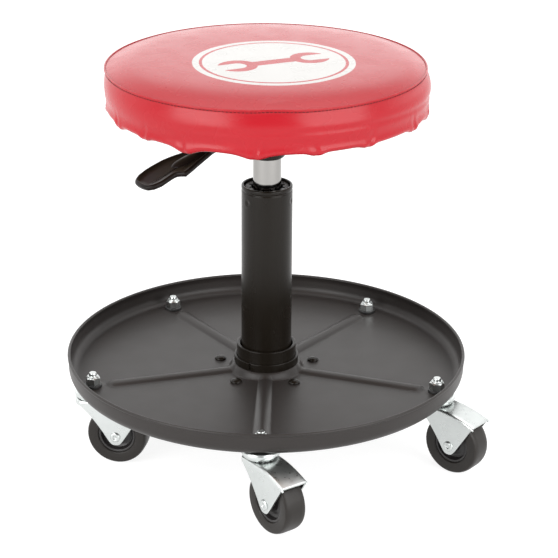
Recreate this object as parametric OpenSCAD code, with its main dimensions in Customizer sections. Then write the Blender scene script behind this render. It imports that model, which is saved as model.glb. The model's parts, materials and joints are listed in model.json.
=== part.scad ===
// Pneumatic mechanic's rolling seat: a padded swivel seat on a gas lift, standing
// in a round pressed-steel tool tray that rolls on five swivel castors.
// Millimetres. Origin on the floor under the column's axis, +Z up, -Y is the front.

/* [Seat] */
// Diameter of the cushion at its widest
seat_d = 318; // [310:1:330]
// Height of the cushion's sewn seam above the floor, gas lift fully down
seam_z = 395.8; // [394:0.2:400]
// Rise of the cushion's crown above its seam
crown_h = 8.5; // [6:0.5:14]
// Diameter of the plywood board under the cushion
board_d = 300; // [290:1:302]

/* [Gas lift] */
// Outer diameter of the column
column_d = 50.8; // [50:0.1:51]
// Height of the column's top edge above the floor
column_top = 274.4; // [268:0.2:280]
// Outer diameter of the plated gas cylinder
cylinder_d = 28; // [27:0.5:28]

/* [Tool tray] */
// Diameter over the tray's top edge
tray_d = 403.8; // [400:0.2:412]
// Height of the tray's floor above the ground, on its upper side
tray_z = 77.3; // [77:0.1:79]
// Height of the tray's lip above its floor
lip_h = 21.8; // [18:0.2:30]
// Sheet thickness of the tray
sheet = 1.5; // [1.2:0.1:1.6]
// Height that the five stiffening ribs stand above the floor
rib_h = 3; // [2.5:0.5:5]

/* [Castors] */
// Diameter of the circle that the five castor stems stand on
stem_circle_d = 360.6; // [354:0.2:364]
// Wheel diameter
wheel_d = 61; // [57:1:62]
// Tread width
wheel_w = 23; // [18:0.5:24]
// Distance that each wheel trails behind its stem
trail = 26; // [25:0.5:27]
// Directions in which the front, right, rear right, rear left and left wheels trail
trail_az = [-53.5, -38.8, 78, 152, -12]; // [-180:0.1:180]

/* [Lever] */
// Direction in which the height lever points
lever_az = 211.5; // [205:0.5:222]
// Angle of the lever below horizontal
lever_drop = 16; // [15:0.5:17]
// Width of the lever's grip
grip_w = 41; // [38:1:44]

/* [Hidden] */
CASTORS = ["front", "right", "rear_right", "rear_left", "left"];
CASTOR_PARTS = ["fork", "axle", "balls", "tyre", "core"];

$fn = 64;
eps = 0.01;

// Tray and hub, from the tray's floor
tray_under = tray_z - sheet;
tray_r = tray_d / 2;
lip_top = tray_z + lip_h;
lip_flare = 1.5;                    // degrees that the lip leans outwards
hem_r = 1.5;                        // radius of the lip's rolled edge
corner_r = 9;                       // inside radius of the bend between floor and lip
wall_r = tray_r - 0.6;              // outer radius of the lip just under its rolled edge
wall_h = lip_h - hem_r - corner_r;  // height of the lip's straight part
floor_edge_r = wall_r - wall_h * tan(lip_flare) - corner_r - sheet;
arm_az = [for (k = [0:4]) -91.5 + 72 * k];
stem_r = stem_circle_d / 2;
hub_bolt_r = 50;                    // radius of the circle of the hub's bolts
boss_top = tray_z + 6.7;            // the raised centre of the tray
sleeve_top = tray_z + 27.2;
sleeve_r = 30;
boss_bore = 30.4;                   // radius of the tray's hole round the sleeve
rib_r = 11;                         // radius of a rib's round back
rib_start = 33;
rib_end = 168;
stem_pad = 0.6;                     // raised pads under the castor nuts
bolt_pad = 0.5;                     // raised pads under the hub's bolt heads
pad_r = 9.6;
bolt_pad_r = 6.8;
stem_hole_r = 4.25;
bolt_hole_r = 3.1;
flange_r = 66;                      // flange of the hub under the tray
flange_t = 3;

// Column and gas spring
column_r = column_d / 2;
column_wall = 2;
column_foot = tray_under - 11.8;
taper_top = sleeve_top - 1.6;       // top of the taper that the column is driven into
rod_r = 5;
cyl_r = cylinder_d / 2;
cyl_foot = column_foot + 16;
cyl_top = 326;                      // end of the cylinder's neck, inside the seat plate
neck_z = 301;                       // where the neck's taper starts
cyl_bore = 12;
piston_z = cyl_foot + 134;          // stops the cylinder after 120 mm of lift

// Seat stack
board_z = 355;
board_h = 12;
board_r = board_d / 2;
seat_r = seat_d / 2;
seam_r = seat_r - 4;
cover_t = 1.2;
wall_foot_r = seat_r - 2.4;         // lower end of the cushion's upright side
wall_foot = seam_z - 37;
welt_r = 1.2;
plate_side = 150;
plate_t = 2.5;
pan_r = 34;
pan_t = 2;
pan_floor = 317;
hub_r = 17.5;
hub_foot = 303.5;
hub_top = 325;
bolt_square = 120;                  // distance between the seat bolts

// Lever: its axis crosses the column's axis at lever_z
lever_z = 338.7;
lever_r = 4;
pivot_out = 22;                     // distance of the pivot pin from the column's axis
pivot_z = lever_z - pivot_out * tan(lever_drop);
pin_r = 2;
lever_end = 104;                    // end of the rod, inside the grip
grip_from = 68;
grip_barb = 108.5;                  // where the grip is widest, in front of the hand
grip_to = 148.6;
grip_tip_r = 18.2;
grip_t = 6;
button_top = lever_z - lever_r / cos(lever_drop) - 0.4;
button_r = 3.8;

// Castors, in the plane of each fork: u along the trail, z up
wheel_r = wheel_d / 2;
axle_r = 3;
axle_z = wheel_r;
fork_w = 30;
fork_t = 2;
crown_z = 67;
crown_t = 2.5;
crown_r = 18;
fork_nose = -9.6;
nose_z = 61.5;                      // lower end of the skirt round the crown
fork_tail = 53.5;
tail_z = 57.8;
apex_r = 8.5;
stem_rad = 4;                       // M8
stem_tip = tray_z + 15.2;
washer_t = 2.6;
nut_z = tray_z + stem_pad + washer_t;
nut_h = 7;
cup_r = 18.4;
kingpin_r = 5;
ball_r = 1.75;
ball_circle = 12;

// Radius of the column's taper, and of the cylinder's neck, at a height
function taper_r(z) = column_r - 0.15 - 0.8 * (taper_top - z) / (taper_top - column_foot);
function neck_r(z) = cyl_r - 0.04 * (z - neck_z);

// Points of a circular arc in a plane
function arc(cx, cy, r, a0, a1, n = 8) =
    [for (i = [0:n]) let (a = a0 + (a1 - a0) * i / n) [cx + r * cos(a), cy + r * sin(a)]];

module around(angles, r) {
    for (a = angles) rotate([0, 0, a]) translate([r, 0, 0]) children();
}

module ring(r_out, r_in, z0, z1) {
    difference() {
        translate([0, 0, z0]) cylinder(r = r_out, h = z1 - z0);
        translate([0, 0, z0 - 1]) cylinder(r = r_in, h = z1 - z0 + 2);
    }
}

// A disc topped by a spherical dome
module dome(r, h, z) {
    ball = (r * r + h * h) / (2 * h);
    intersection() {
        translate([0, 0, z + h - ball]) sphere(r = ball);
        translate([0, 0, z]) cylinder(r = r + 1, h = h + 1);
    }
}

// A hexagon nut or head with its corners chamfered, standing on z0
module hexagon(across_flats, h, z0) {
    corner = across_flats / 2 / cos(30);
    intersection() {
        translate([0, 0, z0]) cylinder(r = corner, h = h, $fn = 6);
        rotate_extrude() polygon([[0, z0], [corner, z0], [corner, z0 + h - 0.9],
            [across_flats / 2 - 0.3, z0 + h], [0, z0 + h]]);
    }
}

// ---- tool tray ----

// A radial ridge with tapered ends: its round back, at radius r
module ridge(r) {
    length = rib_end - rib_start;
    translate([rib_start, 0, tray_z + rib_h - rib_r]) rotate([0, 90, 0])
        rotate_extrude() polygon([[0, 0], [r, 8], [r, length - 7], [0, length]]);
}

// The tray's sheet in section, turned round the column: centre boss, floor, bend and lip
module tray_pressing() {
    bend_z = tray_z + corner_r;
    inner = arc(floor_edge_r, bend_z, corner_r, -90, -lip_flare);
    outer = arc(floor_edge_r, bend_z, corner_r + sheet, -lip_flare, -90);
    hem_z = lip_top - hem_r;
    rotate_extrude($fn = 128) polygon(concat(
        [[boss_bore, boss_top], [33, boss_top], [34.2, boss_top - 1], [35.4, tray_z + 2.2],
         [37, tray_z + 0.7], [40, tray_z]],
        inner, [[wall_r - sheet, hem_z], [wall_r, hem_z]], outer,
        [[39.6, tray_under], [36, tray_z - 0.7], [34, tray_z + 0.9], [32.6, boss_top - sheet - 0.6],
         [boss_bore, boss_top - sheet]]));
}

module tool_tray() color([0.13, 0.12, 0.12]) difference() {
    union() {
        difference() {
            tray_pressing();
            around(arm_az, 0) ridge(rib_r - sheet);
        }
        difference() {
            around(arm_az, 0) intersection() {
                ridge(rib_r);
                translate([rib_start, -20, tray_under]) cube([rib_end, 40, 20]);
            }
            around(arm_az, 0) ridge(rib_r - sheet);
            translate([0, 0, tray_z - 20]) cylinder(r = 36.4, h = 40);
        }
        around(arm_az, stem_r)
            translate([0, 0, tray_under]) cylinder(r = pad_r, h = sheet + stem_pad);
        around([for (a = arm_az) a + 36], hub_bolt_r)
            translate([0, 0, tray_under]) cylinder(r = bolt_pad_r, h = sheet + bolt_pad);
        rotate_extrude($fn = 128)
            translate([tray_r - hem_r, lip_top - hem_r]) circle(r = hem_r, $fn = 24);
    }
    around(arm_az, stem_r) translate([0, 0, tray_under - 5]) cylinder(r = stem_hole_r, h = 20);
    around([for (a = arm_az) a + 36], hub_bolt_r)
        translate([0, 0, tray_under - 5]) cylinder(r = bolt_hole_r, h = 20);
}

// ---- hub ----

module hub_socket() color([0.08, 0.08, 0.08]) difference() {
    union() {
        translate([0, 0, tray_under - flange_t]) cylinder(r = flange_r, h = flange_t);
        rotate_extrude() polygon([[20, tray_under - flange_t], [sleeve_r, tray_under - flange_t],
            [sleeve_r, sleeve_top - 1], [sleeve_r - 1, sleeve_top], [20, sleeve_top]]);
    }
    rotate_extrude() polygon([[0, tray_under - 8], [taper_r(tray_under - 8) + 0.02, tray_under - 8],
        [taper_r(taper_top) + 0.02, taper_top], [26.6, sleeve_top], [26.6, sleeve_top + 5],
        [0, sleeve_top + 5]]);
    around([for (a = arm_az) a + 36], hub_bolt_r)
        translate([0, 0, tray_under - 8]) cylinder(r = bolt_hole_r, h = 20);
}

module hub_ring() color([0.07, 0.07, 0.07]) difference() {
    ring(32.3, 30.2, boss_top, boss_top + 8);
    rotate([0, 0, 239]) translate([25, -0.75, boss_top - 1]) cube([10, 1.5, 12]);
}

module hub_bolts() color([0.12, 0.12, 0.12])
    around([for (a = arm_az) a + 36], hub_bolt_r) {
        dome(6, 3, tray_z + bolt_pad);
        translate([0, 0, tray_under - 10.5]) cylinder(r = 3, h = sheet + bolt_pad + 10.5);
    }

module hub_nuts() color([0.55, 0.55, 0.56])
    around([for (a = arm_az) a + 36], hub_bolt_r) difference() {
        rotate([180, 0, 0]) hexagon(10, 5, -tray_under + flange_t);
        translate([0, 0, tray_under - 15]) cylinder(r = 3.05, h = 20);
    }

// ---- column ----

module column_tube() color([0.06, 0.06, 0.06]) difference() {
    rotate_extrude() polygon([[10, column_foot], [taper_r(column_foot), column_foot],
        [taper_r(taper_top), taper_top], [column_r, sleeve_top], [column_r, column_top - 5.5],
        [column_r - 0.4, column_top - 5], [column_r - 0.4, column_top - 4.4], [column_r, column_top - 4],
        [column_r, column_top - 0.6], [column_r - 0.6, column_top], [10, column_top]]);
    translate([0, 0, column_foot - 1]) cylinder(r = 22, h = 30);
    translate([0, 0, column_foot + 20]) cylinder(r = column_r - column_wall, h = 300);
    for (a = [221, 341, 101])
        rotate([0, 0, a]) translate([column_r + 2.2, 0, column_top - 14.5]) sphere(r = 3.4);
}

module guide_bush() color([0.1, 0.1, 0.1]) difference() {
    ring(column_r - column_wall - 0.01, cyl_r + 0.08, column_top - 68, column_top - 2);
    around([for (k = [0:11]) 30 * k], 20) translate([-1.6, -1.2, column_top - 5]) cube([3.2, 2.4, 8]);
    translate([0, 0, column_top - 4]) cylinder(r1 = cyl_r, r2 = cyl_r + 2.5, h = 3);
}

module column_base() color([0.3, 0.3, 0.3])
    ring(21.99, rod_r + 0.06, column_foot + 0.5, column_foot + 3.5);

module bearing_lower_race() color([0.6, 0.6, 0.6])
    ring(13, rod_r + 0.3, column_foot + 3.5, column_foot + 5);

module bearing_balls() color([0.75, 0.75, 0.75])
    around([for (k = [0:11]) 30 * k], 9.5) translate([0, 0, column_foot + 7]) sphere(r = 1.9, $fn = 24);

module bearing_upper_race() color([0.6, 0.6, 0.6])
    ring(13, rod_r + 0.05, column_foot + 9, column_foot + 10.5);

module bump_stop() color([0.15, 0.15, 0.15])
    ring(11, rod_r + 0.05, column_foot + 10.5, cyl_foot - 0.5);

module piston_rod() color([0.8, 0.8, 0.8]) difference() {
    translate([0, 0, column_foot - 5]) cylinder(r = rod_r, h = piston_z + 10 - column_foot + 5);
    ring(rod_r + 2, rod_r - 0.8, column_foot - 1.6, column_foot + 0.3);
}

module rod_clip() color([0.5, 0.5, 0.5]) difference() {
    ring(8.5, rod_r - 0.75, column_foot - 1.5, column_foot + 0.2);
    translate([0, -2, column_foot - 3]) cube([12, 4, 6]);
}

module piston() color([0.5, 0.5, 0.5])
    ring(cyl_bore - 0.1, rod_r + 0.03, piston_z, piston_z + 10);

module gas_cylinder() color([0.75, 0.75, 0.76]) difference() {
    rotate_extrude() polygon([[0, cyl_foot], [cyl_r - 0.8, cyl_foot], [cyl_r, cyl_foot + 0.8],
        [cyl_r, neck_z], [neck_r(cyl_top - 0.8), cyl_top - 0.8], [neck_r(cyl_top) - 0.8, cyl_top],
        [0, cyl_top]]);
    translate([0, 0, cyl_foot - 1]) cylinder(r = cyl_bore, h = cyl_top - 12 - cyl_foot + 1);
    cylinder(r = button_r + 0.08, h = 400);
}

module rod_seal() color([0.1, 0.1, 0.1])
    ring(cyl_bore - 0.05, rod_r + 0.06, cyl_foot, cyl_foot + 10);

module release_button() color([0.55, 0.55, 0.56]) {
    translate([0, 0, cyl_top - 8]) cylinder(r = button_r, h = button_top - 1.2 - cyl_top + 8);
    dome(button_r, 1.2 + eps, button_top - 1.2 - eps);
}

// ---- seat plate and lever ----

module rounded_square(side, r) {
    h = side / 2 - r;
    polygon(concat(arc(h, h, r, 0, 90), arc(-h, h, r, 90, 180), arc(-h, -h, r, 180, 270),
        arc(h, -h, r, 270, 360)));
}

module bolt_places() {
    for (x = [-1, 1], y = [-1, 1]) translate([x * bolt_square / 2, y * bolt_square / 2, 0]) children();
}

// Moves its children into the lever's own frame: x outwards along the lever, z up
module along_lever() {
    rotate([0, 0, lever_az]) translate([0, 0, lever_z]) rotate([0, lever_drop, 0]) children();
}

module seat_plate() color([0.09, 0.09, 0.09]) difference() {
    union() {
        difference() {
            translate([0, 0, board_z - plate_t]) linear_extrude(plate_t)
                rounded_square(plate_side, 14);
            translate([0, 0, board_z - 10]) cylinder(r = pan_r - pan_t, h = 20);
        }
        difference() {
            translate([0, 0, pan_floor]) cylinder(r = pan_r, h = board_z - pan_floor - 1);
            translate([0, 0, pan_floor + pan_t]) cylinder(r = pan_r - pan_t, h = 60);
        }
        rotate_extrude() polygon([[0, hub_foot], [hub_r - 1.2, hub_foot], [hub_r, hub_foot + 1.2],
            [hub_r, hub_top], [0, hub_top]]);
        for (s = [-1, 1]) rotate([0, 0, lever_az])
            translate([pivot_out - 4, s * 6.25 - 1.25, pan_floor + 1])
                cube([9, 2.5, pivot_z + 5 - pan_floor]);
    }
    rotate_extrude() polygon([[0, hub_foot - 1], [neck_r(hub_foot) + 0.5, hub_foot - 1],
        [neck_r(hub_foot + 1) + 0.02, hub_foot + 1], [neck_r(hub_top + 2) + 0.02, hub_top + 2],
        [0, hub_top + 2]]);
    rotate([0, 0, lever_az]) translate([pan_r - 5, -6, pan_floor + 5]) cube([10, 12, 14]);
    rotate([0, 0, lever_az]) translate([pivot_out, 0, pivot_z]) rotate([90, 0, 0])
        cylinder(r = pin_r + 0.02, h = 30, center = true);
    bolt_places() translate([0, 0, board_z - 10]) cylinder(r = 3.3, h = 20);
}

module lever_pin() color([0.6, 0.6, 0.6])
    rotate([0, 0, lever_az]) translate([pivot_out, 0, pivot_z]) rotate([90, 0, 0]) {
        cylinder(r = pin_r, h = 19, center = true);
        for (s = [-1, 1]) translate([0, 0, s * 8.6]) cylinder(r = 3.2, h = 1.8, center = true);
    }

module lever_rod() color([0.12, 0.12, 0.12]) difference() {
    union() {
        along_lever() translate([-5, 0, 0]) rotate([0, 90, 0])
            rotate_extrude() polygon([[0, 0], [lever_r - 1, 0], [lever_r, 1],
                [lever_r, lever_end + 4], [lever_r - 1, lever_end + 5], [0, lever_end + 5]]);
        rotate([0, 0, lever_az]) translate([pivot_out, 0, pivot_z]) rotate([90, 0, 0])
            cylinder(r = 6, h = 9, center = true);
    }
    rotate([0, 0, lever_az]) translate([pivot_out, 0, pivot_z]) rotate([90, 0, 0])
        cylinder(r = pin_r + 0.05, h = 30, center = true);
}

// The grip's outline: it widens towards the hand, has a barb on its near side and a round tip
function grip_outline() = let (w = grip_w / 2)
    concat([[grip_from, -8], [90, -0.77 * w], [grip_barb, -0.98 * w], [119, -0.95 * w]],
        arc(grip_to - grip_tip_r, 0.4, grip_tip_r, -56, 80, 12),
        [[122, 0.74 * w], [115, 0.69 * w], [grip_barb, w + 0.8], [105, w], [91, 0.71 * w], [grip_from, 7]]);

module lever_grip() color([0.07, 0.07, 0.07]) along_lever() difference() {
    union() {
        translate([0, 0, -grip_t / 2]) linear_extrude(grip_t) polygon(grip_outline());
        translate([grip_from, 0, 0]) rotate([0, 90, 0]) cylinder(r = 6.2, h = lever_end + 3 - grip_from);
    }
    rotate([0, 90, 0]) cylinder(r = lever_r + 0.02, h = lever_end + 0.2);
}

// ---- seat ----

module seat_board() color([0.72, 0.56, 0.36]) difference() {
    translate([0, 0, board_z]) cylinder(r = board_r, h = board_h);
    bolt_places() translate([0, 0, board_z - 1]) cylinder(r = 4.1, h = 30);
}

module tee_nuts() color([0.65, 0.65, 0.66]) bolt_places() difference() {
    union() {
        translate([0, 0, board_z + 3]) cylinder(r = 4, h = board_h - 3);
        translate([0, 0, board_z + board_h]) cylinder(r = 9, h = 1);
    }
    translate([0, 0, board_z]) cylinder(r = 3.05, h = 30);
}

module plate_bolts() color([0.65, 0.65, 0.66]) bolt_places() {
    rotate([180, 0, 0]) hexagon(10, 4, -(board_z - plate_t - 1.5));
    translate([0, 0, board_z - plate_t - 1.5]) cylinder(r = 7, h = 1.5);
    translate([0, 0, board_z - plate_t - eps]) cylinder(r = 3, h = plate_t + board_h - 1);
}

// The cushion's outside in section: its crown from the axis to the seam, then its side down to
// wall_foot. inset moves both inwards.
function crown(inset) = let (r = seam_r - inset) [for (i = [0:14])
    let (x = r * sqrt(i / 14), rise = 1 - 0.22 * pow(x / r, 2) - 0.78 * pow(x / r, 10))
    [x, seam_z - inset + crown_h * rise]];
function side_wall(inset) = [for (p = [[2.4, 5], [0.6, 11], [0, 17], [0.5, 24], [2.1, 31],
    [seat_r - wall_foot_r, seam_z - wall_foot]]) [seat_r - inset - p[0], seam_z - p[1]]];

module seat_foam() color([0.85, 0.78, 0.5]) difference() {
    rotate_extrude($fn = 128) polygon(concat([[0, board_z + board_h]], crown(cover_t + 0.15),
        side_wall(cover_t + 0.15), [[board_r + 0.4, wall_foot], [board_r + 0.4, board_z + board_h]]));
    bolt_places() translate([0, 0, board_z + board_h - 1]) cylinder(r = 9.3, h = 2.3);
}

// The piping round the seam, with room round it
module piping(room) {
    rotate_extrude($fn = 128)
        translate([seam_r + 0.6, seam_z + 0.4]) circle(r = welt_r + room, $fn = 24);
}

module seat_cover() color([0.82, 0.06, 0.08]) difference() {
    hem = [[board_r + 3.5, board_z + 0.5], [board_r + 1, board_z - 0.8], [board_r - 2, board_z - cover_t],
        [board_r - 24, board_z - cover_t], [board_r - 24, board_z], [board_r + 0.2, board_z],
        [board_r + 0.2, wall_foot - 0.5], [wall_foot_r - cover_t - 0.8, wall_foot - 0.5]];
    rotate_extrude($fn = 128) polygon(concat(crown(0), side_wall(0), hem,
        [for (i = [5:-1:0]) side_wall(cover_t)[i]], [for (i = [14:-1:0]) crown(cover_t)[i]]));
    piping(0.02);
}

module seat_welt() color([0.78, 0.05, 0.07]) piping(0);

module cover_staples() color([0.75, 0.75, 0.75])
    for (k = [0:31]) rotate([0, 0, 11.25 * k]) translate([board_r - 16, -5, board_z - cover_t - 0.6])
        cube([1.2, 10, 0.6]);

// ---- castors ----

module at_castor(k) {
    rotate([0, 0, arm_az[k]]) translate([stem_r, 0, 0]) rotate([0, 0, trail_az[k] - arm_az[k]]) children();
}

// Moves its children onto a wheel's axle: the axle lies along their z
module on_axle(k) {
    at_castor(k) translate([trail, 0, axle_z]) rotate([90, 0, 0]) children();
}

module castor_stems() color([0.8, 0.8, 0.8]) for (k = [0:4]) at_castor(k) {
    rotate_extrude() polygon([[0, crown_z - 6.3], [5.5, crown_z - 6.3], [8.3, crown_z - 4.3],
        [8.3, crown_z - crown_t - 0.3], [kingpin_r, crown_z - crown_t - 0.3], [kingpin_r, crown_z + 3.6],
        [15.6, crown_z + 3.6], [15.6, crown_z + 0.8], [cup_r - 2, crown_z + 0.8],
        [cup_r, crown_z + 3.6], [cup_r, tray_under - 1.6], [cup_r - 1.6, tray_under],
        [stem_rad, tray_under], [stem_rad, stem_tip - 0.8], [stem_rad - 0.8, stem_tip], [0, stem_tip]]);
}

module castor_washers() color([0.2, 0.2, 0.2]) for (k = [0:4]) at_castor(k)
    ring(8.5, stem_rad + 0.1, tray_z + stem_pad, nut_z);

module castor_nuts() color([0.8, 0.8, 0.78]) for (k = [0:4]) at_castor(k)
    rotate([0, 0, -trail_az[k]]) difference() {
        union() {
            hexagon(13, nut_h, nut_z);
            translate([0, 0, nut_z + nut_h]) cylinder(r1 = 5.8, r2 = 5, h = 1.8);
        }
        cylinder(r = stem_rad + 0.05, h = 200);
    }

function hood_z(u) = u < 12 ? crown_z
    : crown_z - (crown_z - tail_z) * pow((u - 12) / (fork_tail - 12), 1.8);
function hood(drop) = [for (i = [0:10]) let (u = fork_nose + (fork_tail - fork_nose) * i / 10)
    [u, hood_z(u) - drop]];

module castor_fork(k) color([0.72, 0.73, 0.73]) at_castor(k) difference() {
    union() {
        rotate([90, 0, 0]) linear_extrude(fork_w, center = true) polygon(concat(hood(0),
            [[fork_tail, tail_z - fork_t]], arc(trail, axle_z, apex_r, -33, -145, 10),
            [[5, 46.8], [fork_nose, nose_z]]));
        translate([0, 0, crown_z - crown_t]) cylinder(r = crown_r, h = crown_t);
        intersection() {
            ring(crown_r, crown_r - fork_t, nose_z, crown_z - crown_t / 2);
            translate([fork_nose - 20, -20, 0]) cube([20, 40, 100]);
        }
    }
    rotate([90, 0, 0]) linear_extrude(fork_w - 2 * fork_t, center = true) polygon(concat(
        [for (p = hood(crown_t)) [p[0] * 1.04 + 0.35, p[1]]], [[fork_tail + 5, 10],
        [fork_nose - 0.05, 10], [fork_nose - 0.05, crown_z - crown_t]]));
    translate([0, 0, crown_z - 20]) cylinder(r = kingpin_r + 0.1, h = 40);
    translate([trail, 0, axle_z]) rotate([90, 0, 0]) cylinder(r = axle_r + 0.02, h = 60, center = true);
}

module castor_axle(k) color([0.7, 0.7, 0.7]) on_axle(k) {
    cylinder(r = axle_r, h = fork_w + 1, center = true);
    for (s = [0, 1]) rotate([180 * s, 0, 0]) difference() {
        union() {
            translate([0, 0, fork_w / 2]) cylinder(r = 5.2, h = 0.9);
            translate([0, 0, fork_w / 2 + 0.9]) cylinder(r1 = 5.2, r2 = 3.6, h = 0.8);
        }
        translate([0, 0, fork_w / 2 + 0.7]) cylinder(r = 1.8, h = 5);
    }
}

module castor_balls(k) color([0.75, 0.75, 0.75]) at_castor(k)
    around([for (n = [0:13]) 360 / 14 * n], ball_circle)
        translate([0, 0, crown_z + ball_r + 0.03]) sphere(r = ball_r, $fn = 24);

module castor_tyre(k) color([0.1, 0.1, 0.1]) on_axle(k) rotate_extrude() {
    w = wheel_w / 2;
    round_r = 3;
    polygon(concat([[18.6, 1 - w], [19.6, -w]],
        arc(wheel_r - round_r, round_r - w, round_r, -90, 0, 6),
        arc(wheel_r - round_r, w - round_r, round_r, 0, 90, 6),
        [[19.6, w], [18.6, w - 1]]));
}

module castor_core(k) color([0.05, 0.05, 0.05]) on_axle(k) rotate_extrude() {
    w = wheel_w / 2;
    boss = fork_w / 2 - fork_t - 0.4;
    polygon([[axle_r + 0.06, -boss], [7.4, -boss], [8, -3.5], [15.5, -3.5], [16.5, 1.2 - w], [18.5, 1 - w],
        [18.5, w - 1], [16.5, w - 1.2], [15.5, 3.5], [8, 3.5], [7.4, boss], [axle_r + 0.06, boss]]);
}

// ---- the nodes ----

tool_tray();
hub_socket();
hub_ring();
hub_bolts();
hub_nuts();
column_tube();
guide_bush();
column_base();
bearing_lower_race();
bearing_balls();
castor_stems();
castor_nuts();
castor_washers();
piston_rod();
piston();
bearing_upper_race();
bump_stop();
rod_clip();
gas_cylinder();
rod_seal();
release_button();
seat_plate();
lever_pin();
plate_bolts();
tee_nuts();
seat_board();
seat_foam();
seat_cover();
seat_welt();
cover_staples();
lever_rod();
lever_grip();
for (k = [0:4]) {
    castor_fork(k);
    castor_axle(k);
    castor_balls(k);
    castor_tyre(k);
    castor_core(k);
}
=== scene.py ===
"""The looks of the rolling workshop seat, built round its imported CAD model. Profiles are in millimetres."""
import json
import math

import bmesh
import bpy
import numpy as np
from mathutils import Matrix, Vector
from mathutils.bvhtree import BVHTree

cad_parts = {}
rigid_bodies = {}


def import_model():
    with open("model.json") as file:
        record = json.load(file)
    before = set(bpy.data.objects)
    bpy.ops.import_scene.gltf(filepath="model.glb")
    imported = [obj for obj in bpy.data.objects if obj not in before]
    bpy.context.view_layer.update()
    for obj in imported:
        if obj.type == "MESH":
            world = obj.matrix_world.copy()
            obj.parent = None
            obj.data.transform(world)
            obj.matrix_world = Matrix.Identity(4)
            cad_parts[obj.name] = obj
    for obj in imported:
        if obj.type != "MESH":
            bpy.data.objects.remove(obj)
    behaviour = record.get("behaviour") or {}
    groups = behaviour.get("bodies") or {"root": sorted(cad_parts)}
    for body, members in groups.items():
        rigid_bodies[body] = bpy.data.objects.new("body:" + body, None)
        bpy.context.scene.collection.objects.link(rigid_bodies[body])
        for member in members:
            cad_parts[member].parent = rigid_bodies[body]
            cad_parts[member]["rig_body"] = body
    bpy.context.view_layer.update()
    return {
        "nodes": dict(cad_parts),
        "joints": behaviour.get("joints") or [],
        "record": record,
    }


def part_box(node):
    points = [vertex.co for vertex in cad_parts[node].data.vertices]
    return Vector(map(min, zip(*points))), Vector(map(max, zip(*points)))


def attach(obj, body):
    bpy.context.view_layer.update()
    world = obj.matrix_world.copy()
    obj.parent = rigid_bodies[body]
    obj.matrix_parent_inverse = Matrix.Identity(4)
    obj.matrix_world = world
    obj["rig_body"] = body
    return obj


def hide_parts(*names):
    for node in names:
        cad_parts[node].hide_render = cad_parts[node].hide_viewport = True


MM = 0.001
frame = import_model()
joints = {j["name"]: j for j in frame["joints"]}
mounts = {m["name"]: m for m in frame["record"]["mounts"]}
CASTORS = ["front", "right", "rear_right", "rear_left", "left"]


def low(node):
    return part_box(node)[0] / MM


def high(node):
    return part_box(node)[1] / MM


# Places that the CAD gives, in millimetres
FLOOR_Z = mounts["tray_floor"]["pos_m"][2] / MM
TRAY_UNDER = low("tool_tray").z
TRAY_TOP = high("tool_tray").z
TRAY_R = high("tool_tray").x
SHEET = FLOOR_Z - TRAY_UNDER
SLEEVE_TOP = high("hub_socket").z
BOSS_TOP = low("hub_ring").z
COLUMN_TOP = high("column_tube").z
COLUMN_R = high("column_tube").x
CYLINDER_R = high("gas_cylinder").x
BOARD_Z = low("seat_board").z
BOARD_TOP = high("seat_board").z
BOARD_R = high("seat_board").x
SEAM_Z = (low("seat_welt").z + high("seat_welt").z) / 2 - 0.4
SEAT_R = high("seat_cover").x
SEAM_R = SEAT_R - 4
CROWN = high("seat_cover").z - SEAM_Z
STEMS = [Vector(joints[f"{c}_swivel"]["pos_m"][:2]) / MM for c in CASTORS]
ARMS = [math.atan2(s.y, s.x) for s in STEMS]
RIVET_R = 50.0                           # circle of the hub's rivets, which stand between the arms
RIVETS = [(RIVET_R * math.cos(a + math.pi / 5), RIVET_R * math.sin(a + math.pi / 5)) for a in ARMS]


# ---- materials ----

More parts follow.
